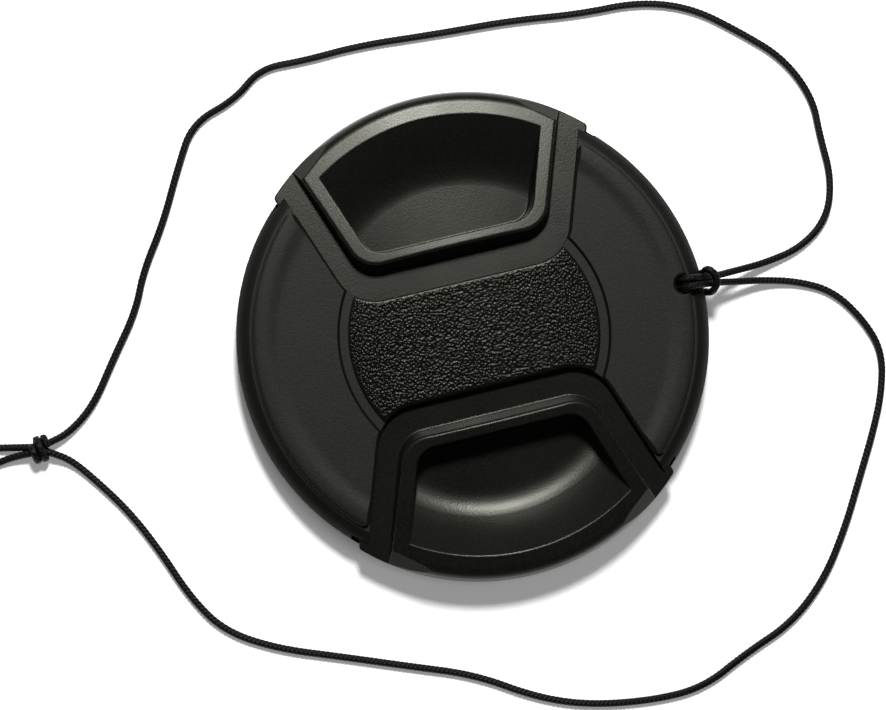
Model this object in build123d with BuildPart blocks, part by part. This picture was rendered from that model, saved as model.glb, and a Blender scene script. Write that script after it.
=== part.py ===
from build123d import *
import math
import os

# Camera lens cap for a 58 mm filter thread: a moulded cover, two pinch tabs that slide in
# from opposite sides against a pair of coil springs, a back plate that closes the inside,
# and a thin keeper cord hitched through a hole in the rim.
# Millimetres. The origin is on the face that the cap rests on, under its middle.
# +Z is the front of the cap, the tabs lie along Y and the cord hole is on +X.

# Heights above the resting face
seat_height = 3.4          # underside of the flange that lies on the lens
rim_band_top = 4.6         # top of the straight band round the rim
rim_shoulder = 5.95        # where the sloped rim meets the wings
cover_underside = 5.2      # inside of the cover, which the tabs slide along
cover_wall = 1.1           # cover thickness under the grained pad
wing_rise = 0.05           # wings above the pad
lip_rise = 0.2             # rounded lip above the dished wings
lip_drop = 0.4             # how far the lip rounds down at its outer edge
groove_depth = 0.2         # smooth margin round the pad, below the pad

# Cover, seen from the front
thread_radius = 29.0       # filter thread of the lens
spigot_gap = 1.0           # between the thread and the ring that enters the lens
spigot_wall = 1.4
flange_lap = 1.5           # rim past the thread
rim_run = 1.7              # width of the sloped rim
rim_bulge = 0.17           # how far the sloped rim swells past a straight cone
ledge = 0.25               # narrow step round the wings
wing_corner = 0.95         # rounded outer corners of the wings
lip_width = 1.35
dish_run = 2.6             # width of the soft rise from the dished wing to the lip
medallion_radius = 17.5
margin_width = 1.5         # smooth margin between the grained pad and the wings

# Openings for the tabs, cut in from the rim at both ends of Y
opening_inner = 7.0        # straight inner edge, from the middle of the cap
opening_half = 14.0        # half its width there, before the corners are rounded
opening_corner = 5.5
opening_edge = 0.28        # bevel on the edge of the opening
side_angle = math.radians(19.4)
side_slope = math.tan(side_angle)

# Pinch tabs
travel = 2.6               # how far a tab can be pressed in
running_gap = 0.1          # above and below the sliding plate
side_clearance = 0.25      # beside the sliding plate
plate_thickness = 1.0
plate_lap = 1.1            # plate hidden under each wing
plate_corner = 0.6         # rounding of the plate's outer corners
band_inner = 3.35          # plate that shows between the opening and the grip, inner side
band_side = 2.8            # the same along the sloping sides
rest_shift = 1.85          # at rest the tab stands this far out of line with the rim
tab_inset = 0.7            # tab's outer wall inside the rim when the two are in line
grip_height = 3.1          # inner edge of the grip above the plate
grip_fall = math.radians(4.2)    # the grip's top falls towards the rim
grip_draft = 1.1           # slope of the grip's inner and outer walls
side_draft = 0.45          # slope of its side walls
grip_corner = 4.0
grip_edge = 0.4            # rounding of the grip's top edges
brow_edge = 1.6            # rounding of the outer top edge, where a finger rests
border_inner = 1.3         # flat border between the grip's edge and the scoop
border_side = 1.75
border_outer = 2.1
cut_sweep = math.radians(9.6)    # the grip's outer corners are cut off, this far round the brow
cut_side = 0.6             # and this far in along the side
scoop_depth = 5.0          # finger scoop, from the grip's inner edge to the crease in its floor
floor_fall = math.radians(3.0)   # the floor falls towards the crease
crease_radius = 8.0
scoop_corner = 3.0
scoop_draft = 5.0          # degrees
scoop_run = 7.1            # width of the scoop's rising outer side
scoop_sag = 0.4            # hollow of that side below a straight slope
scoop_wall = 1.0
scoop_edge = 0.08          # bevel round the top of the scoop
skirt_width = 2.8          # outer wall of the tab
skirt_inset = 0.5          # its ends, inside the edge of the opening
lip_angle = 36.0           # degrees, half the length of the snap lip
snap_reach = 0.2           # snap lip past the spigot, with the two in line
snap_wall = 1.2
ridge_height = 0.6         # ridges on the lip that catch the thread
snap_foot = 0.5            # lower end of the lip above the resting face
thread_pitch = 0.75

# Guide posts under the cover, which pass through slots in the tabs
post_x = 17.8
post_y = 7.2
post_radius = 1.1
post_clearance = 0.12
pin_radius = 0.8           # thinner end of the post, through the back plate
pin_clearance = 0.03
stake_radius = 1.3         # the end is melted to a flat button behind the back plate
stake_height = 0.35
ear_wall = 1.2             # tab plate left round each slot

# Back plate
back_recess = 0.5          # back face above the resting face
back_thickness = 1.2
back_clearance = 0.2
back_bevel = 0.35
boss_wall = 1.2            # wall of the bosses that carry the tabs

# Return springs, along Y between the two tabs
spring_x = 9.0
spring_seat = 6.2          # seat in each tab, from the middle of the cap
spring_radius = 1.3        # to the middle of the wire
spring_wire = 0.4
spring_turns = 7
spring_gap = 0.05
seat_wall = 1.3
seat_half = 2.3
peg_radius = 0.85
peg_length = 1.4
spring_room = 0.25

# Keeper cord
cord_diameter = 1.0
cord_hole_inset = 0.7      # from the edge of the wing to the middle of the hole
cord_hole_diameter = 2.3
cord_hole_bevel = 0.3
cord_notch_half = 1.6      # gap in the spigot for the cord
knot_length = 3.2
knot_radius = 1.6
knot_end_radius = 1.0
knot_place = (-57.35, -1.0)
knot_turn = -13.9          # degrees, the way the knot lies

# Routes of the cord. The two strands start inside the hole and end in the knot.
upper_route = [
    (27.85, 0.52, 5.5), (27.85, 0.52, 6.75), (28.95, 0.5, 7.45), (30.7, 0.3, 5.85),
    (32.3, 0.05, 4.4), (35.3, 0.1, 2.6), (39.6, 0.4, 1.0), (44.9, 1.3, 0.5),
    (49.3, 4.4, 0.5), (51.2, 9.5, 0.5), (51.1, 15.2, 0.5), (51.4, 20.4, 0.5),
    (48.9, 26.4, 0.5), (44.0, 31.2, 0.5), (38.6, 35.7, 0.5), (32.0, 38.0, 0.5),
    (24.0, 38.2, 0.5), (15.0, 39.4, 0.5), (5.0, 39.9, 0.5), (-5.0, 40.7, 0.5),
    (-12.5, 40.4, 0.5), (-18.4, 40.7, 0.5), (-22.4, 37.5, 0.5), (-28.6, 35.7, 0.5),
    (-31.8, 30.4, 0.5), (-35.4, 23.7, 0.5), (-39.2, 18.4, 0.5), (-41.4, 13.5, 0.5),
    (-45.6, 8.2, 0.5), (-49.4, 3.0, 0.5), (-53.3, 0.2, 0.7), (-56.3, -0.5, 1.4),
]
lower_route = [
    (27.85, -0.52, 5.5), (27.85, -0.52, 6.75), (28.95, -0.55, 7.45), (30.7, -0.75, 5.85),
    (32.3, -1.0, 4.4), (35.3, -1.05, 2.6), (39.3, -1.6, 1.0), (43.6, -2.8, 0.5),
    (47.7, -5.1, 0.5), (50.6, -9.6, 0.5), (52.0, -14.2, 0.5), (50.6, -19.4, 0.5),
    (48.1, -24.3, 0.5), (44.8, -29.8, 0.5), (41.6, -35.2, 0.5), (37.2, -41.2, 0.5),
    (31.6, -45.7, 0.5), (25.0, -48.0, 0.5), (18.4, -51.0, 0.5), (11.5, -51.0, 0.5),
    (3.4, -49.6, 0.5), (-3.0, -47.0, 0.5), (-10.0, -42.3, 0.5), (-18.0, -39.2, 0.5),
    (-26.0, -36.0, 0.5), (-33.8, -33.0, 0.5), (-39.9, -29.2, 0.5), (-43.1, -24.0, 0.5),
    (-45.6, -17.0, 0.5), (-48.3, -11.2, 0.5), (-51.6, -6.2, 0.5), (-53.9, -3.2, 0.7),
    (-56.1, -1.75, 1.4),
]
# The small end loop lies past the knot.
loop_route = [
    (-57.4, -0.7, 1.5), (-59.6, -0.2, 1.0), (-62.6, 0.5, 0.5), (-67.5, 1.4, 0.5),
    (-73.5, 3.0, 0.5), (-80.5, 4.2, 0.5), (-87.0, 3.9, 0.5), (-92.4, 1.5, 0.5),
    (-94.6, -2.6, 0.5), (-92.8, -6.6, 0.5), (-87.6, -8.2, 0.5), (-80.6, -7.0, 0.5),
    (-74.0, -4.6, 0.5), (-68.0, -2.6, 0.5), (-63.0, -1.3, 0.5), (-59.9, -1.1, 1.0),
    (-57.6, -1.3, 1.5),
]
# The bight of the hitch goes down the hole, out under the flange, up and over both strands
# and back the same way.
hitch_route = [
    (27.85, 0.52, 5.5), (27.85, 0.52, 2.7), (31.25, 1.15, 2.7), (31.95, 1.18, 6.1),
    (31.95, -2.05, 6.1), (31.25, -2.0, 2.7), (27.85, -0.52, 2.7), (27.85, -0.52, 5.5),
]
hitch_bend = 1.1           # the bight is pulled tight round the rim and the two strands

# Heights and radii that follow from the sizes above
pad_top = cover_underside + cover_wall
groove_floor = pad_top - groove_depth
wing_floor = pad_top + wing_rise
lip_top = wing_floor + lip_rise
spigot_radius = thread_radius - spigot_gap
spigot_inner = spigot_radius - spigot_wall
rim_radius = thread_radius + flange_lap
wing_radius = rim_radius - rim_run - ledge
cord_hole_x = wing_radius - cord_hole_inset
pad_radius = medallion_radius - margin_width
lip_crest = wing_radius - lip_width
dish_radius = lip_crest - dish_run
plate_top = cover_underside - running_gap
plate_bottom = plate_top - plate_thickness
grip_top = plate_top + grip_height
scoop_floor = grip_top - scoop_depth
grip_inner = opening_inner + band_inner + grip_draft
scoop_inner = grip_inner + border_inner
scoop_inset = band_side + side_draft + border_side
guide_top = plate_bottom - running_gap
back_top = back_recess + back_thickness
spring_z = (cover_underside + back_top) / 2
tab_radius = rim_radius - tab_inset
grip_radius = tab_radius - grip_draft
scoop_radius = grip_radius - border_outer
snap_outer = spigot_radius + snap_reach
snap_inner = snap_outer - snap_wall
snap_tip = snap_outer + ridge_height
side_room = travel * math.sin(side_angle) + side_clearance
outside = 1.5 * rim_radius
tab_axis = Axis((0, rest_shift, 0), (0, 0, 1))
post_places = [(x, y) for x in (-post_x, post_x) for y in (-post_y, post_y)]


def half_width(y, inset):
    # Half the width of a tab opening at y, drawn in by inset square to its sloping side
    return opening_half + (y - opening_inner) * side_slope - inset / math.cos(side_angle)


def side_end(inset, radius):
    # Where a sloping side meets an arc round the tab's own centre
    start = half_width(0, inset)
    half = start * side_slope - rest_shift
    square = side_slope**2 + 1
    y = (math.sqrt(half**2 - square * (start**2 + rest_shift**2 - radius**2)) - half) / square
    return half_width(y, inset), y


def wedge(inner, inset, corner):
    # Plan with a straight inner edge, rounded corners and sloping sides, open to the rim
    with BuildSketch() as plan:
        with BuildLine():
            Polyline(
                (half_width(inner, inset), inner),
                (half_width(outside, inset), outside),
                (-half_width(outside, inset), outside),
                (-half_width(inner, inset), inner),
                close=True,
            )
        make_face()
        fillet(plan.vertices().group_by(Axis.Y)[0], corner)
    return plan.sketch


def rounded_wedge(inner, inset, corner, radius):
    # The same plan, ended by an arc round the tab's own centre
    with BuildSketch() as plan:
        add(wedge(inner, inset, corner))
        with Locations((0, rest_shift)):
            Circle(radius, mode=Mode.INTERSECT)
    return plan.sketch


def grip_crest(radius):
    # Height of the grip's falling top, by the distance from the tab's own centre
    return grip_top - (radius - grip_inner + rest_shift) * math.tan(grip_fall)


def corner_radii(route):
    # The largest arc that the two runs at each corner have room for
    points = [Vector(*point) for point in route]
    radii = []
    for before, corner, after in zip(points, points[1:], points[2:]):
        turn = math.radians((corner - before).get_angle(after - corner))
        shorter = min((corner - before).length, (after - corner).length)
        radii.append(0.45 * shorter / math.tan(turn / 2))
    return radii


def report(name, tube, line, radii):
    # Radii of the bends, and the tube's volume against its section times its length
    section = math.pi * cord_diameter**2 / 4
    share = tube.volume / (section * line.length)
    print(f"{name}: length {line.length:.1f}, volume share {share:.4f}")
    print("  radii", ", ".join(f"{radius:.1f}" for radius in radii))


# Plans shared by the cover and the tabs
opening_plan = wedge(opening_inner, 0, opening_corner)
plate_room = wedge(opening_inner, -plate_lap - side_room, opening_corner)
skirt_room = wedge(opening_inner, skirt_inset - side_room, opening_corner)
with BuildSketch() as wing_plan:
    Circle(wing_radius)
    with PolarLocations(0, 2):
        add(opening_plan, mode=Mode.SUBTRACT)
    fillet(wing_plan.vertices().sort_by(lambda corner: abs(corner.Y))[-4:], wing_corner)

# Front cover: grained pad, two dished wings, sloped rim, flange and spigot
with BuildPart() as front_cover:
    with BuildSketch(Plane.XZ):
        with BuildLine():
            rise_middle = dish_radius + dish_run / 2
            rim_middle = (wing_radius + ledge + rim_radius) / 2 + rim_bulge
            Polyline(
                (0, cover_underside),
                (0, pad_top),
                (pad_radius, pad_top),
                (pad_radius + groove_depth, groove_floor),
                (medallion_radius - groove_depth / 2, groove_floor),
                (medallion_radius, wing_floor),
                (dish_radius, wing_floor),
            )
            Bezier(
                (dish_radius, wing_floor),
                (rise_middle, wing_floor),
                (rise_middle, lip_top),
                (lip_crest, lip_top),
            )
            Bezier(
                (lip_crest, lip_top),
                (wing_radius - lip_drop / 2, lip_top),
                (wing_radius, lip_top - lip_drop / 4),
                (wing_radius, lip_top - lip_drop),
            )
            Polyline(
                (wing_radius, lip_top - lip_drop),
                (wing_radius, rim_shoulder),
                (wing_radius + ledge, rim_shoulder),
            )
            ThreePointArc(
                (wing_radius + ledge, rim_shoulder),
                (rim_middle, (rim_shoulder + rim_band_top) / 2 + rim_bulge),
                (rim_radius, rim_band_top),
            )
            Polyline(
                (rim_radius, rim_band_top),
                (rim_radius, seat_height),
                (spigot_radius, seat_height),
                (spigot_radius, 0),
                (spigot_inner, 0),
                (spigot_inner, cover_underside),
                (0, cover_underside),
            )
        make_face()
    revolve(axis=Axis.Z)
    # Openings for the tabs, with room below them for the sliding plates and for the tabs' outer
    # walls. The rim between those two rooms is the rail that a plate's sides slide on.
    with BuildSketch(Plane.XY.offset(cover_underside)):
        with PolarLocations(0, 2):
            add(opening_plan)
    extrude(amount=rim_radius, mode=Mode.SUBTRACT)
    with BuildSketch(Plane.XY.offset(guide_top)):
        with PolarLocations(0, 2):
            add(plate_room)
    extrude(amount=cover_underside - guide_top, mode=Mode.SUBTRACT)
    with BuildSketch(Plane.XY):
        with PolarLocations(0, 2):
            add(skirt_room)
    extrude(amount=guide_top, mode=Mode.SUBTRACT)
    # Rounded outer corners of the wings
    with BuildSketch(Plane.XY.offset(rim_shoulder)):
        Circle(rim_radius)
        add(wing_plan.sketch, mode=Mode.SUBTRACT)
    extrude(amount=lip_top, mode=Mode.SUBTRACT)
    # Bevelled edge round each opening
    with BuildSketch(Plane.XY.offset(pad_top - opening_edge)):
        with PolarLocations(0, 2):
            add(opening_plan)
    extrude(amount=2 * opening_edge + lip_rise, taper=-45, mode=Mode.SUBTRACT)
    # Guide posts with their thinner ends, melted to buttons behind the back plate
    with BuildSketch(Plane.XY.offset(guide_top)):
        with Locations(*post_places):
            Circle(post_radius)
    extrude(amount=cover_underside - guide_top)
    with BuildSketch(Plane.XY.offset(back_recess)):
        with Locations(*post_places):
            Circle(pin_radius)
    extrude(amount=guide_top - back_recess)
    with BuildSketch(Plane.XY.offset(back_recess - stake_height)):
        with Locations(*post_places):
            Circle(stake_radius)
    extrude(amount=stake_height)
    # Cord hole through the lip, and the gap in the spigot below it
    with Locations((cord_hole_x, 0, lip_top)):
        Hole(cord_hole_diameter / 2, depth=lip_top - seat_height)
    with BuildSketch(Plane.XY.offset(lip_top - cord_hole_bevel)):
        with Locations((cord_hole_x, 0)):
            Circle(cord_hole_diameter / 2)
    extrude(amount=cord_hole_bevel, taper=-45, mode=Mode.SUBTRACT)
    with BuildSketch(Plane.XY):
        with Locations(((spigot_inner + spigot_radius) / 2, 0)):
            Rectangle(2 * spigot_wall, 2 * cord_notch_half)
    extrude(amount=seat_height, mode=Mode.SUBTRACT)

# Finger scoop: a drafted pocket whose floor falls to a soft crease, past which a hollow side
# rises to the brow
with BuildPart() as scoop:
    with BuildSketch(Plane.XY.offset(grip_top)):
        add(wedge(scoop_inner, scoop_inset, scoop_corner))
    extrude(amount=-scoop_depth, taper=scoop_draft)
    with BuildSketch(Plane.YZ) as profile:
        with BuildLine():
            crease = Vector(rest_shift + scoop_radius - scoop_run, scoop_floor)
            brow = Vector(rest_shift + scoop_radius, grip_crest(scoop_radius))
            chord = brow - crease
            slant = math.atan2(chord.Y, chord.X)
            end_slope = slant + 2 * math.atan(2 * scoop_sag / chord.length)
            hollow = crease + chord / 2 + Vector(math.sin(slant), -math.cos(slant)) * scoop_sag
            floor_middle = scoop_floor + (scoop_radius - scoop_run) * math.tan(floor_fall)
            ThreePointArc(crease, hollow, brow)
            Polyline(
                brow,
                (brow.X + (grip_top - brow.Y) / math.tan(end_slope), grip_top),
                (rest_shift, grip_top),
                (rest_shift, floor_middle),
                crease,
            )
        make_face()
        fillet(profile.vertices().sort_by_distance(crease)[0], crease_radius)
    revolve(axis=tab_axis, mode=Mode.INTERSECT)

# Grip: the raised frame of a tab, with drafted walls, cut-off outer corners and a top that falls
# like a shallow cone to the rounded brow
with BuildPart() as grip:
    base_inset = band_side
    top_inset = band_side + side_draft
    with BuildSketch(Plane.XY.offset(plate_top)):
        add(wedge(opening_inner + band_inner, base_inset, grip_corner))
    with BuildSketch(Plane.XY.offset(grip_top)):
        add(wedge(grip_inner, top_inset, grip_corner))
    loft(ruled=True)
    with BuildSketch(Plane.YZ) as section:
        with BuildLine():
            fall = grip_crest(tab_radius) - plate_top
            share = fall / (grip_height - grip_draft * math.tan(grip_fall))
            ridge = Vector(rest_shift + tab_radius - grip_draft * share, plate_top + grip_height * share)
            Polyline(
                (rest_shift, plate_top),
                (rest_shift + tab_radius, plate_top),
                ridge,
                (rest_shift, grip_crest(0)),
                close=True,
            )
        make_face()
        fillet(section.vertices().sort_by_distance(ridge)[0], brow_edge)
    revolve(axis=tab_axis, mode=Mode.INTERSECT)
    # Fine rounding along the inner edge, its corners and the sides, which leaves out the brow
    fillet(grip.faces().sort_by(Axis.Z)[-1].edges().sort_by(Axis.Y)[:-1], grip_edge)
    # The outer corners are cut off
    base_x, base_y = side_end(base_inset, tab_radius)
    corner_x, corner_y = side_end(top_inset, grip_radius)
    cut_angle = math.atan2(corner_x, corner_y - rest_shift) - cut_sweep
    arc_x = grip_radius * math.sin(cut_angle)
    arc_y = rest_shift + grip_radius * math.cos(cut_angle)
    side_y = corner_y - cut_side
    side_x = half_width(side_y, top_inset)
    for side in (1, -1):
        on_arc = Vector(side * arc_x, arc_y, grip_crest(grip_radius))
        on_side = Vector(side * side_x, side_y, grip_crest(math.hypot(side_x, side_y - rest_shift)))
        foot = Vector(side * base_x, base_y, plate_top)
        along = on_side - on_arc
        cut = Plane(origin=foot, x_dir=along, z_dir=side * (foot - on_arc).cross(along))
        split(bisect_by=cut, keep=Keep.TOP)

# Upper pinch tab, on the +Y side
with BuildPart() as upper_tab:
    ear_inner = post_y - post_radius - ear_wall
    ear_outer = post_y + travel + post_radius + ear_wall
    ear_half = post_x + post_radius + ear_wall
    with BuildSketch(Plane.XY.offset(plate_bottom)) as plate_plan:
        add(rounded_wedge(ear_inner, -plate_lap, opening_corner, tab_radius))
        fillet(plate_plan.vertices().sort_by(Axis.Y)[-2:], plate_corner)
        with Locations((0, (ear_inner + ear_outer) / 2)):
            RectangleRounded(2 * ear_half, ear_outer - ear_inner, ear_wall)
        with Locations(*((side * post_x, post_y + travel / 2) for side in (1, -1))):
            SlotCenterToCenter(
                travel, 2 * (post_radius + post_clearance), rotation=90, mode=Mode.SUBTRACT
            )
    extrude(amount=plate_thickness)
    # Outer wall, flush with the flange below
    with BuildSketch(Plane.XY.offset(seat_height)):
        add(rounded_wedge(ear_outer, skirt_inset, opening_corner, tab_radius))
        with Locations((0, rest_shift)):
            Circle(tab_radius - skirt_width, mode=Mode.SUBTRACT)
    extrude(amount=plate_top - seat_height)
    # Wall and floor round the scoop, below the plate
    with BuildSketch(Plane.XY.offset(scoop_floor - scoop_wall)):
        add(
            rounded_wedge(
                scoop_inner - scoop_wall,
                scoop_inset - scoop_wall,
                scoop_corner,
                tab_radius - skirt_width,
            )
        )
    extrude(amount=plate_bottom - scoop_floor + scoop_wall)
    add(grip.part)
    add(scoop.part, mode=Mode.SUBTRACT)
    border_y = (grip_inner + scoop_inner) / 2
    border = upper_tab.faces().sort_by_distance((0, border_y, grip_crest(border_y - rest_shift)))[0]
    chamfer(border.inner_wires()[0].edges(), scoop_edge)
    # Snap lip with two ridges that catch the lens's thread
    start = math.radians(lip_angle)
    radial = (math.sin(start), math.cos(start), 0)
    square = (math.cos(start), -math.sin(start), 0)
    with BuildSketch(Plane(origin=(0, rest_shift, 0), x_dir=radial, z_dir=square)):
        with BuildLine():
            Polyline(
                (snap_inner, plate_bottom),
                (snap_inner, snap_foot),
                (snap_outer, snap_foot),
                (snap_tip, snap_foot + thread_pitch / 2),
                (snap_outer, snap_foot + thread_pitch),
                (snap_tip, snap_foot + 3 * thread_pitch / 2),
                (snap_outer, snap_foot + 2 * thread_pitch),
                (snap_outer, plate_bottom),
                close=True,
            )
        make_face()
    revolve(axis=tab_axis, revolution_arc=2 * lip_angle)
    # Spring seats with their pegs, and room for the springs in the plate
    for side in (1, -1):
        with BuildSketch(Plane.XY.offset(back_top + running_gap)):
            with Locations((side * spring_x, spring_seat + seat_wall / 2)):
                Rectangle(2 * seat_half, seat_wall)
        extrude(amount=plate_bottom - back_top - running_gap)
        with BuildSketch(Plane.XY.offset(plate_bottom)):
            with Locations((side * spring_x, spring_seat / 2)):
                Rectangle(2 * (spring_radius + spring_wire / 2 + spring_room), spring_seat)
        extrude(amount=plate_thickness, mode=Mode.SUBTRACT)
        with BuildSketch(Plane(origin=(side * spring_x, spring_seat, spring_z), z_dir=(0, -1, 0))):
            Circle(peg_radius)
        extrude(amount=peg_length)

# Lower pinch tab: the same moulding, turned half round
with BuildPart() as lower_tab:
    add(upper_tab.part, rotation=(0, 0, 180))

# Back plate: closes the cap and carries the tabs on bosses round the posts
with BuildPart() as back_plate:
    pressed = travel - rest_shift
    with BuildSketch(Plane.XY.offset(back_recess)):
        Circle(spigot_inner - back_clearance)
        for side in (1, -1):
            with Locations((0, -side * pressed)):
                Circle(snap_inner - side_clearance, mode=Mode.INTERSECT)
    extrude(amount=back_thickness)
    chamfer(back_plate.edges().group_by(Axis.Z)[0], back_bevel)
    with BuildSketch(Plane.XY.offset(back_top)):
        with Locations(*post_places):
            Circle(post_radius + boss_wall)
    extrude(amount=guide_top - back_top)
    with Locations(*((x, y, guide_top) for x, y in post_places)):
        Hole(pin_radius + pin_clearance)

# Return springs
spring_length = 2 * (spring_seat - spring_gap) - spring_wire
spring_pitch = spring_length / spring_turns
springs = {}
for name, side in (("left_spring", -1), ("right_spring", 1)):
    with BuildPart() as spring:
        with BuildLine() as coil:
            Helix(
                spring_pitch,
                spring_length,
                spring_radius,
                center=(side * spring_x, -spring_length / 2, spring_z),
                direction=(0, 1, 0),
            )
        with BuildSketch(Plane(origin=coil.line @ 0, z_dir=coil.line % 0)):
            Circle(spring_wire / 2)
        sweep(path=coil.line, is_frenet=True)
    springs[name] = spring.part

# Keeper cord
cords = {}
for name, route, radii in (
    ("cord_upper_strand", upper_route, corner_radii(upper_route)),
    ("cord_lower_strand", lower_route, corner_radii(lower_route)),
    ("cord_end_loop", loop_route, corner_radii(loop_route)),
    ("cord_hitch", hitch_route, [hitch_bend] * (len(hitch_route) - 2)),
):
    with BuildPart() as strand:
        with BuildLine() as way:
            FilletPolyline(*route, radius=radii)
        line = way.wire()
        with BuildSketch(Plane(origin=line @ 0, z_dir=line % 0)):
            Circle(cord_diameter / 2)
        sweep(path=line)
    cords[name] = strand.part
    report(name, strand.part, line, radii)

# Knot: the lump where both strands are tied
with BuildPart() as cord_knot:
    knot_plane = Plane(
        origin=(*knot_place, knot_radius),
        x_dir=(math.cos(math.radians(knot_turn)), math.sin(math.radians(knot_turn)), 0),
        z_dir=(0, 0, 1),
    )
    with BuildSketch(knot_plane):
        with BuildLine():
            Polyline(
                (-knot_length / 2, knot_end_radius),
                (-knot_length / 2, 0),
                (knot_length / 2, 0),
                (knot_length / 2, knot_end_radius),
            )
            ThreePointArc(
                (-knot_length / 2, knot_end_radius), (0, knot_radius), (knot_length / 2, knot_end_radius)
            )
        make_face()
    revolve(axis=Axis(knot_plane.origin, knot_plane.x_dir))

os.makedirs("parts", exist_ok=True)
pieces = {
    "front_cover": front_cover.part,
    "upper_pinch_tab": upper_tab.part,
    "lower_pinch_tab": lower_tab.part,
    "back_plate": back_plate.part,
    "cord_knot": cord_knot.part,
    **springs,
    **cords,
}
for name, piece in pieces.items():
    piece.label = name
    export_step(piece, f"parts/{name}.step")
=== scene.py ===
import math
import bpy
import numpy as np
from mathutils import Matrix, Vector


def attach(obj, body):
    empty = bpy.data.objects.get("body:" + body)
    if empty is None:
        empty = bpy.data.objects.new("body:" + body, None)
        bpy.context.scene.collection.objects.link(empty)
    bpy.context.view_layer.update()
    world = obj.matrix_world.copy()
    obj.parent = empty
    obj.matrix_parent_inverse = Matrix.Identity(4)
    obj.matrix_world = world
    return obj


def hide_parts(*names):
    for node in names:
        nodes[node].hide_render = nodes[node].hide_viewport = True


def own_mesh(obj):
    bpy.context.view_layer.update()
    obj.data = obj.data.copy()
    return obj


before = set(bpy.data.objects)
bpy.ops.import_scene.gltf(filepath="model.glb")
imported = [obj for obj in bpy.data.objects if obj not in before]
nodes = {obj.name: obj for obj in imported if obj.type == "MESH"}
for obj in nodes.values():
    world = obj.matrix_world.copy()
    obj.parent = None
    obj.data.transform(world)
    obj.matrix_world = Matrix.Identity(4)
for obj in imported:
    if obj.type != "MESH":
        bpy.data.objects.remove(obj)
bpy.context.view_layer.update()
scene = bpy.context.scene
print("frame loaded")

# Camera: nearly straight down, turned so that the cap's Y axis leans to the right
shot = {
    "turn": 13.9,                      # degrees that the cap's Y axis leans in the picture
    "tilt": 7.0,                       # degrees off straight down
    "lean": (-0.787, -0.617),          # the way the camera leans, seen in plan
    "distance": 0.42,
    "target": (0.0, 0.0, 0.0064),
    "targetPixel": (474.8, 334.0),     # where the target lies in the picture
    "pixelsPerMetre": 7810.0,          # at the target
    "image": (886, 710),
    "sensor": 36.0,
    "clip": (0.01, 20),
}


def makeCamera(values):
    tilt, turn = math.radians(values["tilt"]), math.radians(values["turn"])
    lean = Vector(values["lean"]) * math.sin(tilt)
    back = Vector((lean.x, lean.y, math.cos(tilt))).normalized()
    right = Vector((math.sin(turn), math.cos(turn), 0)).cross(back).normalized()
    up = back.cross(right)
    eye = Vector(values["target"]) + back * values["distance"]
    focal = values["pixelsPerMetre"] * values["distance"]
    # The axis is turned from the target to the middle of the picture.
    across = (values["image"][0] / 2 - values["targetPixel"][0]) / focal
    down = (values["image"][1] / 2 - values["targetPixel"][1]) / focal
    back = (back - across * right + down * up).normalized()
    right = (right - right.dot(back) * back).normalized()
    up = back.cross(right)
    data = bpy.data.cameras.new("camera")
    data.sensor_width = values["sensor"]
    data.lens = values["sensor"] * focal / values["image"][0]
    data.clip_start, data.clip_end = values["clip"]
    camera = bpy.data.objects.new("camera", data)
    turned = Matrix((right, up, back)).transposed().to_4x4()
    camera.matrix_world = Matrix.Translation(eye) @ turned
    scene.collection.objects.link(camera)
    scene.camera = camera


makeCamera(shot)
print("camera made")


# Meshes from grids of points
def gridMesh(name, points, closedAround=False, caps=False, marks=None):
    # points[i, j] is a surface of two parameters; closedAround joins the last column to the first,
    # and caps close the two ends of a tube with a fan round their middle. Marks give each point a
    # value for its material.
    rows, columns = points.shape[:2]
    vertices = points.reshape(-1, 3)
    spans = columns if closedAround else columns - 1
    i, j = np.meshgrid(np.arange(rows - 1), np.arange(spans), indexing="ij")
    near, far = i * columns + j, i * columns + (j + 1) % columns
    faces = np.stack([near, far, far + columns, near + columns], -1).reshape(-1, 4)
    corners = [faces.ravel()]
    sizes = [np.full(len(faces), 4)]
    if caps:
        ring = np.arange(columns)
        nextRing = (ring + 1) % columns
        first, last = len(vertices), len(vertices) + 1
        vertices = np.vstack([vertices, points[0].mean(0), points[-1].mean(0)])
        start = np.stack([nextRing, ring, np.full(columns, first)], -1)
        offset = (rows - 1) * columns
        end = np.stack([ring + offset, nextRing + offset, np.full(columns, last)], -1)
        corners += [start.ravel(), end.ravel()]
        sizes.append(np.full(2 * columns, 3))
    corners, sizes = np.concatenate(corners), np.concatenate(sizes)
    mesh = bpy.data.meshes.new(name)
    mesh.vertices.add(len(vertices))
    mesh.vertices.foreach_set("co", vertices.astype(np.float32).ravel())
    mesh.loops.add(len(corners))
    mesh.loops.foreach_set("vertex_index", corners.astype(np.int32))
    mesh.polygons.add(len(sizes))
    starts = np.concatenate([[0], np.cumsum(sizes)[:-1]])
    mesh.polygons.foreach_set("loop_start", starts.astype(np.int32))
    mesh.polygons.foreach_set("use_smooth", np.ones(len(sizes), bool))
    mesh.update(calc_edges=True)
    mesh.validate()
    for key, values in (marks or {}).items():
        spare = np.zeros(len(vertices) - values.size)
        layer = mesh.attributes.new(key, "FLOAT", "POINT")
        layer.data.foreach_set("value", np.concatenate([values.ravel(), spare]).astype(np.float32))
    piece = bpy.data.objects.new(name, mesh)
    scene.collection.objects.link(piece)
    return piece


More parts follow.
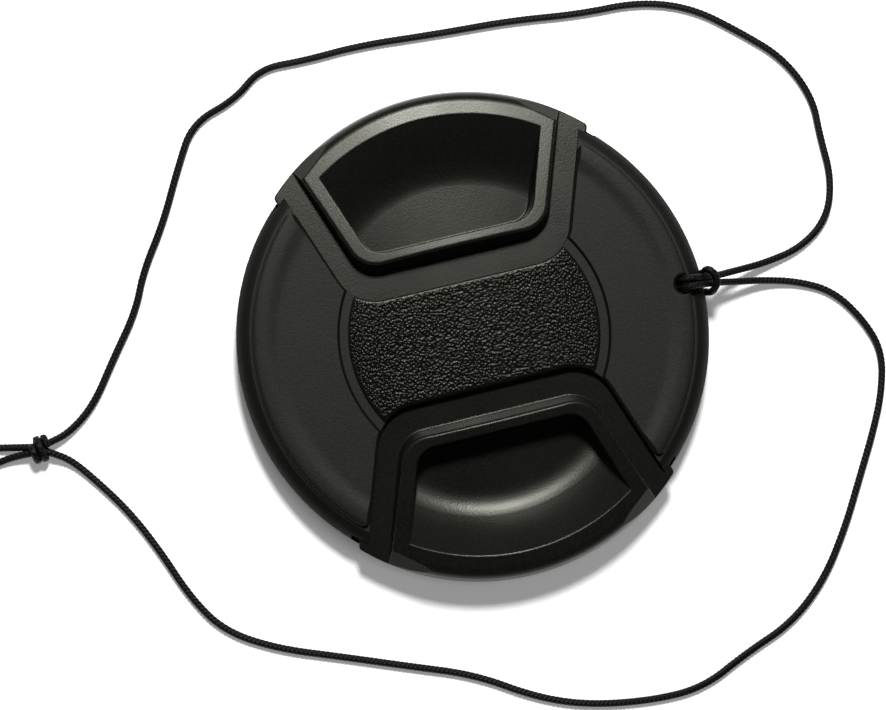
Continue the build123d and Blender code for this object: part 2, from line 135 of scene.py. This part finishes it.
# Keeper cord: the routes of the solids in metres, drawn together where they leave the hole
cordLook = {
    "diameter": 0.001,
    "pitch": 0.00057,       # from one float of the braid to the next, along the cord
    "relief": 0.00012,      # height of a float
    "slant": 0.55,          # how far a float leans along the cord, for its width
    "floatWide": 0.95,      # half of its width, in radians
    "floatLong": 0.56,      # half of its length, in pitches
    "resolution": 24,       # of the route's curve
    "step": 0.00006,        # mesh along the cord
    "around": 24,
}
routes = {
    "upper": [
        (0.02752, 0.00052, 0.00550), (0.02752, 0.00052, 0.00675), (0.02880, 0.00050, 0.00745),
        (0.03070, 0.00022, 0.00585), (0.03230, 0.00020, 0.00440), (0.03530, 0.00040, 0.00260),
        (0.03960, 0.00060, 0.00100), (0.04490, 0.00145, 0.00050), (0.04930, 0.00440, 0.00050),
        (0.05120, 0.00950, 0.00050), (0.05110, 0.01520, 0.00050), (0.05140, 0.02040, 0.00050),
        (0.04890, 0.02640, 0.00050), (0.04400, 0.03120, 0.00050), (0.03860, 0.03570, 0.00050),
        (0.03200, 0.03800, 0.00050), (0.02400, 0.03820, 0.00050), (0.01500, 0.03940, 0.00050),
        (0.00500, 0.03990, 0.00050), (-0.00500, 0.04070, 0.00050), (-0.01250, 0.04040, 0.00050),
        (-0.01840, 0.04070, 0.00050), (-0.02240, 0.03750, 0.00050), (-0.02860, 0.03570, 0.00050),
        (-0.03180, 0.03040, 0.00050), (-0.03540, 0.02370, 0.00050), (-0.03920, 0.01840, 0.00050),
        (-0.04140, 0.01350, 0.00050), (-0.04560, 0.00820, 0.00050), (-0.04940, 0.00300, 0.00050),
        (-0.05330, 0.00020, 0.00070), (-0.05630, -0.00050, 0.00140), (-0.05700, -0.00075, 0.00150),
    ],
    "lower": [
        (0.02752, -0.00052, 0.00550), (0.02752, -0.00052, 0.00675), (0.02880, -0.00052, 0.00745),
        (0.03070, -0.00063, 0.00585), (0.03230, -0.00064, 0.00440), (0.03530, -0.00105, 0.00260),
        (0.03930, -0.00160, 0.00100), (0.04360, -0.00280, 0.00050), (0.04770, -0.00510, 0.00050),
        (0.05060, -0.00960, 0.00050), (0.05200, -0.01420, 0.00050), (0.05060, -0.01940, 0.00050),
        (0.04810, -0.02430, 0.00050), (0.04480, -0.02980, 0.00050), (0.04160, -0.03520, 0.00050),
        (0.03720, -0.04120, 0.00050), (0.03160, -0.04570, 0.00050), (0.02500, -0.04800, 0.00050),
        (0.01840, -0.05100, 0.00050), (0.01150, -0.05100, 0.00050), (0.00340, -0.04960, 0.00050),
        (-0.00300, -0.04700, 0.00050), (-0.01000, -0.04230, 0.00050), (-0.01800, -0.03920, 0.00050),
        (-0.02600, -0.03600, 0.00050), (-0.03380, -0.03300, 0.00050), (-0.03990, -0.02920, 0.00050),
        (-0.04310, -0.02400, 0.00050), (-0.04560, -0.01700, 0.00050), (-0.04830, -0.01120, 0.00050),
        (-0.05160, -0.00620, 0.00050), (-0.05390, -0.00320, 0.00070), (-0.05610, -0.00175, 0.00140),
        (-0.05700, -0.00120, 0.00150),
    ],
    "endLoop": [
        (-0.05740, -0.00070, 0.00150), (-0.05960, -0.00020, 0.00100), (-0.06260, 0.00050, 0.00050),
        (-0.06750, 0.00140, 0.00050), (-0.07350, 0.00300, 0.00050), (-0.08050, 0.00420, 0.00050),
        (-0.08700, 0.00390, 0.00050), (-0.09240, 0.00150, 0.00050), (-0.09460, -0.00260, 0.00050),
        (-0.09280, -0.00660, 0.00050), (-0.08760, -0.00820, 0.00050), (-0.08060, -0.00700, 0.00050),
        (-0.07400, -0.00460, 0.00050), (-0.06800, -0.00260, 0.00050), (-0.06300, -0.00130, 0.00050),
        (-0.05990, -0.00110, 0.00100), (-0.05760, -0.00130, 0.00150),
    ],
    # The bight comes up outside the rim and leans outwards over the strands in a round ring.
    "hitch": [
        (0.02752, 0.00052, 0.00550), (0.02752, 0.00060, 0.00260), (0.03140, 0.00110, 0.00260),
        (0.03120, 0.00122, 0.00560), (0.03145, 0.00108, 0.00640), (0.03210, 0.00034, 0.00630),
        (0.03215, -0.00092, 0.00610), (0.03135, -0.00180, 0.00530), (0.03130, -0.00150, 0.00260),
        (0.02752, -0.00060, 0.00260), (0.02752, -0.00052, 0.00550),
    ],
}


def routePoints(name, points, values):
    # Points along the route's smooth line
    curve = bpy.data.curves.new(name, "CURVE")
    curve.dimensions = "3D"
    spline = curve.splines.new("NURBS")
    spline.points.add(len(points) - 1)
    spline.points.foreach_set("co", np.column_stack([points, np.ones(len(points))]).ravel())
    spline.order_u = 3
    spline.use_endpoint_u = True
    spline.resolution_u = values["resolution"]
    line = bpy.data.objects.new(name, curve)
    scene.collection.objects.link(line)
    mesh = bpy.data.meshes.new_from_object(line.evaluated_get(bpy.context.evaluated_depsgraph_get()))
    found = np.empty(3 * len(mesh.vertices))
    mesh.vertices.foreach_get("co", found)
    bpy.data.objects.remove(line)
    bpy.data.curves.remove(curve)
    bpy.data.meshes.remove(mesh)
    return found.reshape(-1, 3)


def evenly(points, step):
    # The same line with its points a fixed step apart
    along = np.concatenate([[0], np.cumsum(np.linalg.norm(np.diff(points, axis=0), axis=1))])
    wanted = np.linspace(0, along[-1], max(2, round(along[-1] / step) + 1))
    return np.column_stack([np.interp(wanted, along, points[:, k]) for k in range(3)]), wanted


def braidedTube(name, points, values):
    # Four rows of floats run along the cord, each row half a pitch behind the next. A float is an
    # oval dome that slants to the left or right, row by row, so the rows meet in a herringbone.
    line, along = evenly(points, values["step"])
    tangent = np.gradient(line, axis=0)
    tangent /= np.linalg.norm(tangent, axis=1)[:, None]
    # A steady side direction: (1, 1, 1) less its part along the cord
    aside = np.array([1, 1, 1]) - tangent * tangent.sum(1)[:, None]
    aside /= np.linalg.norm(aside, axis=1)[:, None]
    above = np.cross(tangent, aside)
    turn = np.linspace(0, 2 * np.pi, values["around"], endpoint=False)[None, :]
    along = along[:, None]
    radius = values["diameter"] / 2
    row = np.round(turn / (np.pi / 2))
    fromRow = turn - row * np.pi / 2
    slant = np.where(row % 2 == 0, values["slant"], -values["slant"]) * radius * fromRow
    phase = (along + slant) / values["pitch"] + 0.5 * (row % 2)
    fromFloat = phase - np.round(phase)
    dome = 1 - (fromRow / values["floatWide"]) ** 2 - (fromFloat / values["floatLong"]) ** 2
    crest = np.sqrt(np.clip(dome, 0, 1))
    height = radius - values["relief"] * (1 - crest)
    ring = np.cos(turn)[..., None] * aside[:, None, :] + np.sin(turn)[..., None] * above[:, None, :]
    points = line[:, None, :] + height[..., None] * ring
    # The crest mark is read by the nylon material to paint shade into the gaps between floats.
    return gridMesh(name, points, closedAround=True, caps=True, marks={"crest": crest})


cordPaths = {name: routePoints(name, points, cordLook) for name, points in routes.items()}
cordPieces = {name: braidedTube("braid_" + name, path, cordLook) for name, path in cordPaths.items()}

# Knot: an overhand knot pulled tight, seen as slanting turns of the cord round its strands
knotLook = {
    "middle": (-0.05735, -0.00100, 0.00160),
    "slant": 2.0,           # degrees, the way the axis of the turns lies
    "turns": 2.2,
    "start": 0.9,           # where the first turn begins, in radians
    "across": 0.00130,      # from the axis to the middle of the cord, in plan
    "upright": 0.00100,     # and in height
    "advance": 0.00095,     # along the axis in one turn
    "drawFull": 1.15,       # how wide the turns are in the middle, before the limit of 1
    "drawRate": 2.05,       # how fast they draw in towards the ends
    "drawPower": 8,         # and how late
    "drawLeast": 0.3,       # how wide they stay
    "steps": 120,
}


def makeKnot(values, look):
    # A flattened helix whose turns draw in at both ends, where the cord goes back inside. Their width
    # is the full one less a high power of the way from the middle, and has a least value.
    share = np.linspace(-0.5, 0.5, values["steps"])
    angle = 2 * np.pi * values["turns"] * share + values["start"]
    drawn = values["drawFull"] - (values["drawRate"] * np.abs(share)) ** values["drawPower"]
    drawn = np.clip(drawn, values["drawLeast"], 1)
    slant = math.radians(values["slant"])
    axis = np.array([math.cos(slant), math.sin(slant), 0])
    side = np.array([-math.sin(slant), math.cos(slant), 0])
    points = (
        np.array(values["middle"])
        + np.outer(values["advance"] * values["turns"] * share, axis)
        + np.outer(values["across"] * drawn * np.cos(angle), side)
        + np.outer(values["upright"] * drawn * np.sin(angle), [0, 0, 1])
    )
    return braidedTube("braid_knot", points, look)


knotPiece = makeKnot(knotLook, cordLook)
print("cords made")

# Pad: the grained middle of the cover, over the flat solid
padLook = {
    "radius": 0.0160,
    "cornerMiddle": (0.0101, 0.0125),   # round corner of a tab opening
    "cornerRadius": 0.00578,            # to where the bevel of the opening ends
    "openingRoll": 0.00028,             # the skin rolls down over that bevel
    "marginRoll": 0.00020,              # and into the smooth margin
    "base": 0.006304,
    "relief": 0.00010,
    "smooth": 0.00025,                  # bare strip along the edges
    "grain": 0.00040,                   # size of a pebble
    "reach": 0.72,                      # radius of a pebble, in sizes
    "valley": 0.24,                     # width of the valley between two
    "valleyPower": 0.7,                 # below 1 its sides are steep
    "stretch": (1.0, 1.6),              # least and most length of a pebble for its width
    "high": (0.5, 1.0),                 # least and most height, of the relief
    "turn": 0.55,                       # radians that the pebbles' rows are turned, so that none shows
    "mesh": (450, 204, 6),              # across, along and round an edge
    "crowd": 0.485,                     # how far the mesh crowds towards both sides, 0.5 is to the tips
    "spare": 8,                         # cells past the pad
    "seed": 7,
}


def pebbles(x, y, values):
    # Pebbles lie round jittered points. Each is stretched its own way, and a point belongs to the
    # pebble that is nearest in that stretched measure. A pebble is a dome that falls away with the
    # square of the distance from its middle, and it is cut short where a neighbour begins.
    chance = np.random.default_rng(values["seed"])
    size = values["grain"]
    count = int(2 * values["radius"] / size) + values["spare"]
    jitter = chance.uniform(0, 1, (count, count, 2))
    lean = chance.uniform(0, np.pi, (count, count))
    stretch = chance.uniform(*values["stretch"], (count, count))
    high = chance.uniform(*values["high"], (count, count))
    c, s = math.cos(values["turn"]), math.sin(values["turn"])
    u, v = (c * x + s * y) / size + count / 2, (c * y - s * x) / size + count / 2
    cellU, cellV = np.floor(u).astype(int), np.floor(v).astype(int)
    first, second = np.full(x.shape, np.inf), np.full(x.shape, np.inf)
    top = np.zeros(x.shape)
    for stepU in (-2, -1, 0, 1, 2):
        for stepV in (-2, -1, 0, 1, 2):
            a, b = (cellU + stepU) % count, (cellV + stepV) % count
            du, dv = u - cellU - stepU - jitter[a, b, 0], v - cellV - stepV - jitter[a, b, 1]
            along = du * np.cos(lean[a, b]) + dv * np.sin(lean[a, b])
            across = dv * np.cos(lean[a, b]) - du * np.sin(lean[a, b])
            far = np.hypot(along / np.sqrt(stretch[a, b]), across * np.sqrt(stretch[a, b]))
            nearer = far < first
            second = np.where(nearer, first, np.minimum(second, far))
            top = np.where(nearer, high[a, b], top)
            first = np.where(nearer, far, first)
    dome = np.clip(1 - (first / values["reach"]) ** 2, 0, 1)
    return top * dome * np.clip((second - first) / values["valley"], 0, 1) ** values["valleyPower"]


def makePad(values):
    # x runs across the pad, and y runs between its edges there: the round margin or a tab opening.
    # Past each edge the skin rolls down a quarter round, and a flat underside closes it.
    across, along, steps = values["mesh"]
    x = values["radius"] * np.sin(np.linspace(-1, 1, across) * values["crowd"] * np.pi)[:, None]
    middleX, middleY = values["cornerMiddle"]
    beside = np.clip(np.abs(x) - middleX, 0, values["cornerRadius"])
    opening = middleY - np.sqrt(values["cornerRadius"] ** 2 - beside**2)
    margin = np.sqrt(values["radius"] ** 2 - x**2)
    edge = np.minimum(margin, opening)
    y = np.linspace(1, -1, along)[None, :] * edge
    wide = np.broadcast_to(x, y.shape)
    fromEdge = np.minimum(edge - np.abs(y), values["radius"] - np.hypot(wide, y))
    fade = np.clip(fromEdge / values["smooth"], 0, 1)
    z = values["base"] + values["relief"] * fade * pebbles(wide, y, values)
    atMargin = margin < opening
    outX = np.where(atMargin, x / values["radius"], -np.sign(x) * beside / values["cornerRadius"])
    outY = np.where(atMargin, edge / values["radius"], (middleY - edge) / values["cornerRadius"])
    size = np.where(atMargin, values["marginRoll"], values["openingRoll"])
    turn = np.linspace(0, np.pi / 2, steps + 1)[None, 1:]
    rollX = x + outX * size * np.sin(turn)
    rollY = edge + outY * size * np.sin(turn)
    rollZ = values["base"] - size * (1 - np.cos(turn))
    upper = np.stack([rollX, rollY, rollZ], -1)[:, ::-1]
    lower = np.stack([rollX, -rollY, rollZ], -1)
    points = np.concatenate([upper, np.stack([wide, y, z], -1), lower], axis=1)
    return gridMesh("pad_grain", points, closedAround=True, caps=True)


padPiece = makePad(padLook)
print("pad made")

# Springs: each in two halves, which close up towards the middle of the cap
springLook = {
    "places": (-0.009, 0.009),
    "height": 0.00345,
    "radius": 0.0013,
    "wire": 0.0004,
    "half": 0.00595,       # from the middle to the last turn
    "turns": 3.5,
    "closing": 0.12,       # how much the turns close up towards the seat
    "travel": 0.0026,
    "steps": 260,
    "around": 12,
}


def makeHalfSpring(name, x, side, values):
    # A helix with closer turns at its seat. It starts in the middle of the cap on the +X side of the
    # coil, and the other half goes on from there.
    share = np.linspace(0, 1, values["steps"])
    climb = share + values["closing"] * np.sin(np.pi * share) * share
    angle = 2 * np.pi * values["turns"] * share * side
    line = np.column_stack([
        x + values["radius"] * np.cos(angle),
        side * values["half"] * climb,
        values["height"] + values["radius"] * np.sin(angle),
    ])
    tangent = np.gradient(line, axis=0)
    tangent /= np.linalg.norm(tangent, axis=1)[:, None]
    outward = np.column_stack([np.cos(angle), np.zeros(len(angle)), np.sin(angle)])
    outward -= tangent * (outward * tangent).sum(1)[:, None]
    outward /= np.linalg.norm(outward, axis=1)[:, None]
    above = np.cross(tangent, outward)
    turn = np.linspace(0, 2 * np.pi, values["around"], endpoint=False)
    ring = np.cos(turn)[None, :, None] * outward[:, None] + np.sin(turn)[None, :, None] * above[:, None]
    return gridMesh(name, line[:, None] + values["wire"] / 2 * ring, closedAround=True, caps=True)


springPieces = []
for word, x in zip(("left", "right"), springLook["places"]):
    for half, side, joint in (("upper", 1, "upper_tab_press"), ("lower", -1, "lower_tab_press")):
        piece = makeHalfSpring(f"{word}_spring_{half}_half", x, side, springLook)
        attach(piece, "cap_body")
        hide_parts(word + "_spring")
        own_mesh(piece)
        springPieces.append(piece)
print("springs made")


# Materials
def linear(code):
    # sRGB hex to linear colour
    parts = [int(code[k:k + 2], 16) / 255 for k in (0, 2, 4)]
    return [p / 12.92 if p <= 0.04045 else ((p + 0.055) / 1.055) ** 2.4 for p in parts] + [1.0]


def put(tree, kind, settings, links=None):
    # One node, with its settings and the sockets that feed it, each by its name or number
    node = tree.nodes.new("ShaderNode" + kind)
    for key, value in settings.items():
        if isinstance(key, int) or key in node.inputs.keys():
            node.inputs[key].default_value = value
        else:
            setattr(node, key, value)
    for key, source in (links or {}).items():
        tree.links.new(source, node.inputs[key])
    return node


def newMaterial(name):
    material = bpy.data.materials.new(name)
    material.use_nodes = True
    material.node_tree.nodes.clear()
    return material, material.node_tree


# Common to the plastics
plasticLook = {
    "patches": (0.3, 0.7),              # the noise's range that makes patches of gloss
    "glossSpread": 0.03,                # how much rougher or smoother they are
    "specks": (0.35, 0.65),             # the noise's range that makes light and dark specks
    "ringFull": 0.3,                    # half of a painted shade ring's full part, in widths
    "flat": (0.96, 0.99),               # the upright part of the normal on a flat face
    "plateDown": (0.0006, 0.0002),      # below the plate's face, where the lean begins and is full
    "edgeSamples": 8,
}


def plastic(name, values):
    # Moulded black ABS: a fine spark-eroded matt skin that breaks the light up into soft speckle,
    # slow patches of slightly more and less gloss, as handling leaves them, and soft moulded edges.
    material, tree = newMaterial(name)
    place = put(tree, "TexCoord", {}).outputs["Object"]
    skin = put(tree, "TexNoise", {
        "Scale": 1 / values["skin"], "Detail": 3.0, "Roughness": 0.6,
    }, {"Vector": place}).outputs["Fac"]
    patch = put(tree, "TexNoise", {"Scale": 1 / values["patch"], "Detail": 2.0}, {"Vector": place})
    spread = plasticLook["glossSpread"]
    gloss = put(tree, "MapRange", {
        "From Min": plasticLook["patches"][0], "From Max": plasticLook["patches"][1],
        "To Min": values["rough"] - spread, "To Max": values["rough"] + spread,
    }, {"Value": patch.outputs["Fac"]})
    speck = put(tree, "MapRange", {
        "From Min": plasticLook["specks"][0], "From Max": plasticLook["specks"][1],
    }, {"Value": skin})
    colour = put(tree, "Mix", {
        "data_type": "RGBA", 6: linear(values["dark"]), 7: linear(values["light"]),
    }, {0: speck.outputs["Result"]})
    colour, gloss = colour.outputs[2], gloss.outputs["Result"]
    for first, last, dark, rough in values["paintedShadeRings"]:
        # Rings round the middle painted darker and made rougher: painted shade in the narrow step round the
        # pad's margin and on the outer rim
        across = put(tree, "VectorMath", {"operation": "MULTIPLY", 1: (1.0, 1.0, 0.0)}, {0: place})
        away = put(tree, "VectorMath", {"operation": "LENGTH"}, {0: across.outputs[0]}).outputs["Value"]
        middle = put(tree, "Math", {"operation": "SUBTRACT", 1: (first + last) / 2}, {0: away})
        apart = put(tree, "Math", {"operation": "ABSOLUTE"}, {0: middle.outputs[0]})
        inside = put(tree, "MapRange", {
            "From Min": (last - first) / 2, "From Max": plasticLook["ringFull"] * (last - first),
        }, {"Value": apart.outputs[0]}).outputs["Result"]
        colour = put(tree, "Mix", {"data_type": "RGBA", 7: linear(dark)}, {0: inside, 6: colour}).outputs[2]
        gloss = put(tree, "Mix", {3: rough}, {0: inside, 2: gloss}).outputs[0]
    normal = put(tree, "Bevel", {
        "samples": plasticLook["edgeSamples"], "Radius": values["edge"],
    }).outputs["Normal"]
    if values["lean"]:
        # The flat faces of a tab lean out a little, because its springs tip it in the guides.
        surface = put(tree, "NewGeometry", {}).outputs["Normal"]
        upright = put(tree, "SeparateXYZ", {}, {0: surface}).outputs["Z"]
        lean = math.tan(math.radians(values["lean"]))
        flat = put(tree, "MapRange", {
            "From Min": plasticLook["flat"][0], "From Max": plasticLook["flat"][1], "To Max": lean,
        }, {"Value": upright}).outputs["Result"]
        spot = put(tree, "SeparateXYZ", {}, {0: place}).outputs
        side = put(tree, "Math", {"operation": "SIGN"}, {0: spot["Y"]}).outputs[0]
        begins, full = plasticLook["plateDown"]
        raised = put(tree, "MapRange", {
            "From Min": values["plate"] - begins, "From Max": values["plate"] - full,
        }, {"Value": spot["Z"]}).outputs["Result"]
        sided = put(tree, "Math", {"operation": "MULTIPLY"}, {0: flat, 1: side}).outputs[0]
        outward = put(tree, "Math", {"operation": "MULTIPLY"}, {0: sided, 1: raised})
        tip = put(tree, "CombineXYZ", {}, {"Y": outward.outputs[0]})
        leaning = put(tree, "VectorMath", {"operation": "ADD"}, {0: normal, 1: tip.outputs[0]})
        normal = put(tree, "VectorMath", {"operation": "NORMALIZE"}, {0: leaning.outputs[0]}).outputs[0]
    bump = put(tree, "Bump", {"Strength": 1.0, "Distance": values["depth"]}, {
        "Height": skin, "Normal": normal,
    })
    shader = put(tree, "BsdfPrincipled", {
        "Specular Tint": linear(values["tint"]), "Specular IOR Level": values["specular"],
    }, {
        "Base Color": colour, "Roughness": gloss, "Normal": bump.outputs["Normal"],
    })
    put(tree, "OutputMaterial", {}, {"Surface": shader.outputs["BSDF"]})
    return material


# Sizes in metres: skin is the grain of the surface, depth its height, edge the rounding of edges.
# Rings of painted shade have their radii, colour and roughness. Lean is in degrees, on what is above the
# plate.
plastics = {
    "cover": {"skin": 0.00024, "depth": 0.000018, "patch": 0.012, "rough": 0.45, "specular": 0.22,
              "edge": 0.00014, "lean": 0, "dark": "0e0e0c", "light": "1b1b18", "tint": "fffff1",
              # Painted shade: the groove round the pad's margin and the outer rim are painted darker and
              # rougher.
              "paintedShadeRings": [(0.01724, 0.01766, "020202", 1.0), (0.02855, 0.0310, "040403", 0.6)]},
    "tab": {"skin": 0.00024, "depth": 0.000011, "patch": 0.010, "rough": 0.28, "specular": 0.23,
            "edge": 0.00035, "lean": 3, "plate": 0.0051, "dark": "0e0e0c", "light": "1a1a17",
            "tint": "fffff1", "paintedShadeRings": []},
    "pad": {"skin": 0.00016, "depth": 0.000006, "patch": 0.010, "rough": 0.28, "specular": 0.13,
            "edge": 0.00004, "lean": 0, "dark": "0a0a08", "light": "10100d", "tint": "fffff1", "paintedShadeRings": []},
    "back": {"skin": 0.00030, "depth": 0.000008, "patch": 0.015, "rough": 0.40, "specular": 0.4,
             "edge": 0.00014, "lean": 0, "dark": "121211", "light": "181817", "tint": "fffff6", "paintedShadeRings": []},
}


def nylon(values):
    # Braided nylon: black floats of fine filaments with a weak gloss, and painted shade that darkens the gaps
    # between them
    material, tree = newMaterial("braided nylon")
    place = put(tree, "TexCoord", {}).outputs["Object"]
    crest = put(tree, "Attribute", {"attribute_name": "crest"}).outputs["Fac"]
    fibre = put(tree, "TexNoise", {"Scale": 1 / values["fibre"], "Detail": 2.0}, {"Vector": place})
    bump = put(tree, "Bump", {"Strength": 1.0, "Distance": values["depth"]}, {"Height": fibre.outputs["Fac"]})
    # Painted shade: the crest mark darkens the colour from each float's crest down into the gaps.
    colour = put(tree, "Mix", {
        "data_type": "RGBA", 6: linear(values["dark"]), 7: linear(values["light"]),
    }, {0: crest})
    shader = put(tree, "BsdfPrincipled", {
        "Roughness": values["rough"], "Specular IOR Level": values["specular"],
    }, {"Base Color": colour.outputs[2], "Normal": bump.outputs["Normal"]})
    put(tree, "OutputMaterial", {}, {"Surface": shader.outputs["BSDF"]})
    return material


def springSteel(values):
    # Drawn steel wire: bright, with fine lines that scatter the gloss
    material, tree = newMaterial("drawn spring steel")
    place = put(tree, "TexCoord", {}).outputs["Object"]
    lines = put(tree, "TexNoise", {
        "Scale": 1 / values["lines"], "Detail": 3.0,
    }, {"Vector": place}).outputs["Fac"]
    gloss = put(tree, "MapRange", {
        "To Min": values["smooth"], "To Max": values["rough"],
    }, {"Value": lines})
    colour = put(tree, "Mix", {
        "data_type": "RGBA", 6: linear(values["dark"]), 7: linear(values["light"]),
    }, {0: lines})
    shader = put(tree, "BsdfPrincipled", {"Metallic": 1.0}, {
        "Base Color": colour.outputs[2], "Roughness": gloss.outputs["Result"],
    })
    put(tree, "OutputMaterial", {}, {"Surface": shader.outputs["BSDF"]})
    return material


def floorPaper(values):
    # Plain white paper with a trace of fibre, which is lifted to full white where it is seen
    material, tree = newMaterial("white paper")
    place = put(tree, "TexCoord", {}).outputs["Object"]
    fibre = put(tree, "TexNoise", {"Scale": 1 / values["fibre"], "Detail": 3.0}, {"Vector": place})
    colour = put(tree, "Mix", {
        "data_type": "RGBA", 6: linear(values["dark"]), 7: linear(values["light"]),
    }, {0: fibre.outputs["Fac"]})
    paths = put(tree, "LightPath", {}).outputs
    seen = put(tree, "Math", {"operation": "MAXIMUM"}, {0: paths["Is Camera Ray"], 1: paths["Is Glossy Ray"]})
    seen = put(tree, "Math", {"operation": "MAXIMUM"}, {0: seen.outputs[0], 1: paths["Is Transmission Ray"]})
    # Under the cap the seen paper is painted darker, down to the shade factor: a painted shadow beneath the
    # cap.
    away = put(tree, "VectorMath", {"operation": "LENGTH"}, {0: place}).outputs["Value"]
    whole = put(tree, "MapRange", {
        "From Min": values["cap"], "From Max": values["shadeEdge"],
        "To Min": values["shade"], "To Max": values["lift"],
    }, {"Value": away})
    lift = put(tree, "Mix", {2: 1.0}, {0: seen.outputs[0], 3: whole.outputs["Result"]})
    lifted = put(tree, "VectorMath", {"operation": "SCALE"}, {0: colour.outputs[2], "Scale": lift.outputs[0]})
    # Shadows beside it are lightened too, and past the cord the lamp's light gives out.
    beside = put(tree, "MapRange", {
        "From Min": values["cap"], "From Max": values["glowEdge"], "To Max": values["glow"],
    }, {"Value": away}).outputs["Result"]
    beyond = put(tree, "MapRange", {
        "From Min": values["cord"], "From Max": values["cordEdge"], "To Max": 1 - values["glow"],
    }, {"Value": away}).outputs["Result"]
    added = put(tree, "Math", {"operation": "ADD"}, {0: beside, 1: beyond}).outputs[0]
    glow = put(tree, "Math", {"operation": "MULTIPLY"}, {0: added, 1: seen.outputs[0]})
    shader = put(tree, "BsdfPrincipled", {
        "Roughness": 1.0, "Specular IOR Level": 0.0, "Emission Color": (1.0, 1.0, 1.0, 1.0),
    }, {"Base Color": lifted.outputs[0], "Emission Strength": glow.outputs[0]})
    put(tree, "OutputMaterial", {}, {"Surface": shader.outputs["BSDF"]})
    return material


made = {name: plastic("moulded ABS " + name, values) for name, values in plastics.items()}
made["nylon"] = nylon({
    "fibre": 0.00010, "depth": 0.000010, "rough": 0.5, "specular": 0.16, "dark": "040405", "light": "0c0c0d",
})
made["steel"] = springSteel({
    "lines": 0.00015, "smooth": 0.22, "rough": 0.4, "dark": "8c8c88", "light": "c4c4c0",
})
# Cap and cord are the radii where a change of the paper begins, and the edges are where it ends.
made["paper"] = floorPaper({
    "fibre": 0.0008, "dark": "f3f3f2", "light": "f6f6f5", "lift": 1.5, "shade": 0.2,
    "glow": 0.22, "cap": 0.0292, "shadeEdge": 0.029784, "glowEdge": 0.03212, "cord": 0.095, "cordEdge": 0.152,
})


def dress(piece, material):
    piece.data.materials.clear()
    piece.data.materials.append(material)


nodeMaterials = {
    "front_cover": "cover", "upper_pinch_tab": "tab", "lower_pinch_tab": "tab", "back_plate": "back",
    "left_spring": "steel", "right_spring": "steel",
    "cord_upper_strand": "nylon", "cord_lower_strand": "nylon", "cord_end_loop": "nylon",
    "cord_hitch": "nylon", "cord_knot": "nylon",
}
for node, material in nodeMaterials.items():
    dress(nodes[node], made[material])
for piece in [*cordPieces.values(), knotPiece]:
    dress(piece, made["nylon"])
    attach(piece, "cap_body")
for piece in springPieces:
    dress(piece, made["steel"])
dress(padPiece, made["pad"])
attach(padPiece, "cap_body")
print("materials made")

# Hide the solids that the cord pieces stand for
for piece, node in (
    (cordPieces["upper"], "cord_upper_strand"),
    (cordPieces["lower"], "cord_lower_strand"),
    (cordPieces["endLoop"], "cord_end_loop"),
    (cordPieces["hitch"], "cord_hitch"),
    (knotPiece, "cord_knot"),
):
    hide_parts(node)


# Stage: white paper, one soft lamp beyond the top of the picture, and a weakly lit room whose walls
# are paler than its ceiling
stage = {
    "floor": 6.0,
    "floorLow": 0.00002,    # below the cap, so that the two don't meet in one plane
    "lampAway": 0.55,       # from the cap
    "lampHigh": 60.0,       # degrees above the floor
    "lampTurn": 12.0,       # degrees from the cap's Y axis towards its X axis
    "lampSize": 0.12,
    "lampPower": 2.8,
    "walls": 0.35,
    "ceiling": 0.03,
    "ceilingHigh": 45.0,    # degrees above the floor, where the ceiling begins
}
half = stage["floor"] / 2
across = np.linspace(-half, half, 2)
low = np.full((2, 2), -stage["floorLow"])
floor = gridMesh("floor", np.stack([*np.meshgrid(across, across), low], -1))
dress(floor, made["paper"])

towards = math.radians(stage["lampTurn"])
high = math.radians(stage["lampHigh"])
direction = Vector((math.sin(towards) * math.cos(high), math.cos(towards) * math.cos(high), math.sin(high)))
lampData = bpy.data.lights.new("lamp", "AREA")
lampData.shape = "DISK"
lampData.size = stage["lampSize"]
lampData.energy = stage["lampPower"]
lamp = bpy.data.objects.new("lamp", lampData)
lamp.location = direction * stage["lampAway"]
lamp.rotation_mode = "QUATERNION"
lamp.rotation_quaternion = direction.to_track_quat("Z", "Y")
scene.collection.objects.link(lamp)

world = bpy.data.worlds.new("room")
world.use_nodes = True
scene.world = world
tree = world.node_tree
tree.nodes.clear()
room = put(tree, "SeparateXYZ", {}, {0: put(tree, "TexCoord", {}).outputs["Generated"]})
pale = put(tree, "MapRange", {
    "From Max": math.sin(math.radians(stage["ceilingHigh"])),
    "To Min": stage["walls"], "To Max": stage["ceiling"],
}, {"Value": room.outputs["Z"]})
background = put(tree, "Background", {"Color": (1.0, 1.0, 1.0, 1.0)}, {"Strength": pale.outputs["Result"]})
put(tree, "OutputWorld", {}, {"Surface": background.outputs[0]})
scene.view_settings.view_transform = "Standard"
print("stage made")
